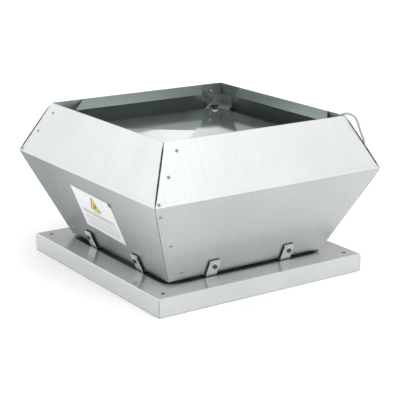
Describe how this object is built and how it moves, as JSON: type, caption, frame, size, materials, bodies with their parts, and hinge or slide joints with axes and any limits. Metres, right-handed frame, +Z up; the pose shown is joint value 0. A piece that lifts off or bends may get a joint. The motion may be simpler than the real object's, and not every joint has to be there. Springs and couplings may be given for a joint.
{
  "type": "roof exhaust fan",
  "caption": "Square roof exhaust fan in galvanised sheet steel: double-tapered housing open at the top, on a flat curb tray, with a rain cover, motor and impeller inside.",
  "frame": {"origin": "on the ground under the middle of the square tray", "axes": "+Z up along the fan's axis; the tray's sides lie along X and Y; the label is on the -X side"},
  "size_m": [0.6174, 0.5448, 0.3371],
  "materials": {
    "galvanised_sheet": "semi-gloss galvanised with a faint spangle",
    "zinc_fastener": "bright zinc plate",
    "cast_aluminium": "matt die cast",
    "aluminium_sheet": "mill finish",
    "bearing_steel": "ground",
    "white_film": "satin label film",
    "grey_pvc": "smooth cable sheath",
    "black_rubber": "matt",
    "white_nylon": "moulded",
    "tinned_ferrule": "tinned copper ends"
  },
  "bodies": {
    "housing": {"base_tray": "galvanised_sheet", "bearing_lower": "bearing_steel", "bearing_upper": "bearing_steel", "bracket_bolt_1": "zinc_fastener", "bracket_bolt_2": "zinc_fastener", "bracket_bolt_3": "zinc_fastener", "bracket_bolt_4": "zinc_fastener", "bracket_bolt_5": "zinc_fastener", "bracket_bolt_6": "zinc_fastener", "bracket_bolt_7": "zinc_fastener", "bracket_bolt_8": "zinc_fastener", "cable_bush": "black_rubber", "cable_clip": "white_nylon", "cable_coil": "grey_pvc", "cable_lead_end": "tinned_ferrule", "cable_tail": "grey_pvc", "corner_bracket_back_left": "galvanised_sheet", "corner_bracket_back_right": "galvanised_sheet", "corner_bracket_front_left": "galvanised_sheet", "corner_bracket_front_right": "galvanised_sheet", "cover_bolt_back_left": "zinc_fastener", "cover_bolt_back_right": "zinc_fastener", "cover_bolt_front_left": "zinc_fastener", "cover_bolt_front_right": "zinc_fastener", "hold_down_bracket_1": "galvanised_sheet", "hold_down_bracket_2": "galvanised_sheet", "hold_down_bracket_3": "galvanised_sheet", "hold_down_bracket_4": "galvanised_sheet", "hold_down_bracket_5": "galvanised_sheet", "hold_down_bracket_6": "galvanised_sheet", "hold_down_bracket_7": "galvanised_sheet", "hold_down_bracket_8": "galvanised_sheet", "inlet_cone": "galvanised_sheet", "label_plate": "white_film", "lower_panel_back": "galvanised_sheet", "lower_panel_front": "galvanised_sheet", "lower_panel_left": "galvanised_sheet", "lower_panel_right": "galvanised_sheet", "motor_cable": "grey_pvc", "motor_carrier": "galvanised_sheet", "motor_stator": "cast_aluminium", "rain_cover": "galvanised_sheet", "upper_panel_back": "galvanised_sheet", "upper_panel_front": "galvanised_sheet", "upper_panel_left": "galvanised_sheet", "upper_panel_right": "galvanised_sheet"},
    "impeller": {"motor_rotor": "cast_aluminium", "motor_shaft": "bearing_steel", "impeller_back_plate": "aluminium_sheet", "impeller_shroud": "aluminium_sheet", "impeller_blade_1": "aluminium_sheet", "impeller_blade_2": "aluminium_sheet", "impeller_blade_3": "aluminium_sheet", "impeller_blade_4": "aluminium_sheet", "impeller_blade_5": "aluminium_sheet", "impeller_blade_6": "aluminium_sheet", "impeller_blade_7": "aluminium_sheet"}
  },
  "joints": [
    {"name": "impeller_spin", "type": "hinge", "parent": "housing", "child": "impeller", "pos_m": [0, 0, 0.2], "axis": [0, 0, 1], "continuous": true}
  ]
}
